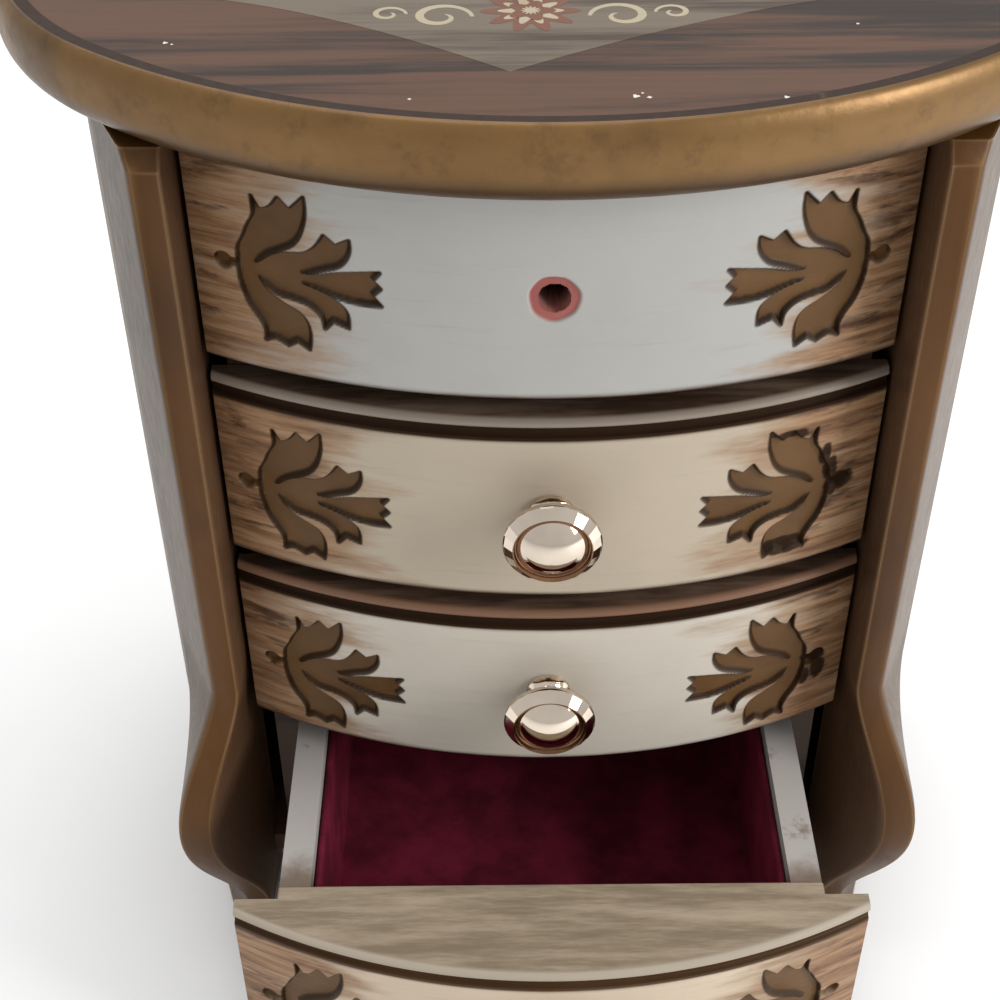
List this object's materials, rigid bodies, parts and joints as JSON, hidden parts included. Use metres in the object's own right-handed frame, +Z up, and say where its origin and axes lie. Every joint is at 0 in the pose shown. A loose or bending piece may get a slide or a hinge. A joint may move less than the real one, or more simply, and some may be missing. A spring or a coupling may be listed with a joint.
{
  "type": "musical jewelry box",
  "caption": "Wooden musical jewelry box with an oval lift-up lid, lined bow-fronted drawers between cabriole legs, ring rolls, a bin and a key-wound movement.",
  "frame": {"origin": "on the floor under the middle of the whole part's box, with the open drawer, its knob and the winding key included", "axes": "+Z up, drawers and fronts face -Y, the back with the winding key faces +Y, +X to the right of a person facing the fronts"},
  "size_m": [0.19, 0.1896, 0.208],
  "materials": {
    "gold_wood": "antique gold paint, satin",
    "back_board": "dark stain, satin",
    "inner_wood": "dark stain, matt",
    "cream_front": "off-white paint with brown antiquing, satin",
    "white_wood": "white paint, matt",
    "velvet": "crimson velvet flock",
    "ring_velvet": "crimson velvet over foam",
    "lid_top": "brown lacquer with a pale panel and painted scrolls",
    "mirror_glass": "silvered glass",
    "gilt_frame": "antique gold",
    "knob_chrome": "polished nickel",
    "brass_work": "satin brass",
    "frame_metal": "cast zinc",
    "steel": "bright steel",
    "clear_cover": "clear sheet",
    "felt": "felt"
  },
  "bodies": {
    "case": {"back_panel": "back_board", "bin_lining": "velvet", "bottom_board": "back_board", "comb": "steel", "compartment_floor": "inner_wood", "drawer_guide_left": "inner_wood", "drawer_guide_right": "inner_wood", "false_front": "cream_front", "foot_pads": "felt", "front_leg_left": "gold_wood", "front_leg_right": "gold_wood", "hinge_case_leaves": "brass_work", "hinge_pins": "steel", "movement_cover": "clear_cover", "movement_frame": "frame_metal", "partition_cross": "velvet", "partition_long": "velvet", "rear_leg_left": "gold_wood", "rear_leg_right": "gold_wood", "ring_platform": "velvet", "ring_roll_front": "ring_velvet", "ring_roll_middle": "ring_velvet", "ring_roll_rear": "ring_velvet", "shelf_lower": "inner_wood", "shelf_upper": "inner_wood", "side_panel_left": "gold_wood", "side_panel_right": "gold_wood", "top_cap_left": "inner_wood", "top_cap_right": "inner_wood"},
    "lid": {"lid_rim": "gold_wood", "lid_panel": "lid_top", "mirror": "mirror_glass", "mirror_frame": "gilt_frame", "hinge_lid_leaves": "brass_work"},
    "drawer_2": {"drawer_2_back": "white_wood", "drawer_2_bottom": "white_wood", "drawer_2_front": "cream_front", "drawer_2_knob": "knob_chrome", "drawer_2_lining": "velvet", "drawer_2_sides": "white_wood"},
    "drawer_3": {"drawer_3_back": "white_wood", "drawer_3_bottom": "white_wood", "drawer_3_front": "cream_front", "drawer_3_knob": "knob_chrome", "drawer_3_lining": "velvet", "drawer_3_sides": "white_wood"},
    "drawer_4": {"drawer_4_back": "white_wood", "drawer_4_bottom": "white_wood", "drawer_4_front": "cream_front", "drawer_4_knob": "knob_chrome", "drawer_4_lining": "velvet", "drawer_4_sides": "white_wood"},
    "key": {"winding_key": "brass_work", "winding_arbor": "steel"},
    "barrel": {"spring_barrel": "brass_work"},
    "cylinder": {"pinned_cylinder": "brass_work"},
    "governor": {"governor_wheel": "brass_work"},
    "fly": {"fly": "steel"},
    "stop_wire": {"stop_wire": "steel"}
  },
  "joints": [
    {"name": "lid_hinge", "type": "hinge", "parent": "case", "child": "lid", "pos_m": [0, 0.07755, 0.19385], "axis": [-1, 0, 0], "range_deg": [0, 95]},
    {"name": "drawer_2_slide", "type": "slide", "parent": "case", "child": "drawer_2", "axis": [0, -1, 0], "range_m": [0, 0.06]},
    {"name": "drawer_3_slide", "type": "slide", "parent": "case", "child": "drawer_3", "axis": [0, -1, 0], "range_m": [0, 0.06]},
    {"name": "drawer_4_slide", "type": "slide", "parent": "case", "child": "drawer_4", "axis": [0, -1, 0], "range_m": [-0.0485, 0.0165]},
    {"name": "key_wind", "type": "hinge", "parent": "case", "child": "key", "pos_m": [-0.036, 0.07575, 0.166], "axis": [0, 1, 0], "continuous": true},
    {"name": "barrel_spin", "type": "hinge", "parent": "case", "child": "barrel", "pos_m": [-0.036, 0.047, 0.166], "axis": [0, 1, 0], "continuous": true},
    {"name": "cylinder_spin", "type": "hinge", "parent": "case", "child": "cylinder", "pos_m": [-0.018, 0.047, 0.166], "axis": [0, 1, 0], "continuous": true},
    {"name": "governor_spin", "type": "hinge", "parent": "case", "child": "governor", "pos_m": [-0.033, 0.03925, 0.166], "axis": [0, 1, 0], "continuous": true},
    {"name": "fly_spin", "type": "hinge", "parent": "case", "child": "fly", "pos_m": [-0.0405, 0.03925, 0.166], "axis": [0, 0, 1], "continuous": true},
    {"name": "stop_wire_lift", "type": "slide", "parent": "case", "child": "stop_wire", "axis": [0, 0, 1], "range_m": [0, 0.003]}
  ],
  "couplings": [
    {"joint": "cylinder_spin", "follows": "barrel_spin", "ratio": -2},
    {"joint": "governor_spin", "follows": "barrel_spin", "ratio": 8},
    {"joint": "fly_spin", "follows": "barrel_spin", "ratio": -128},
    {"joint": "stop_wire_lift", "follows": "lid_hinge", "m_per_rad": 0.0018}
  ]
}
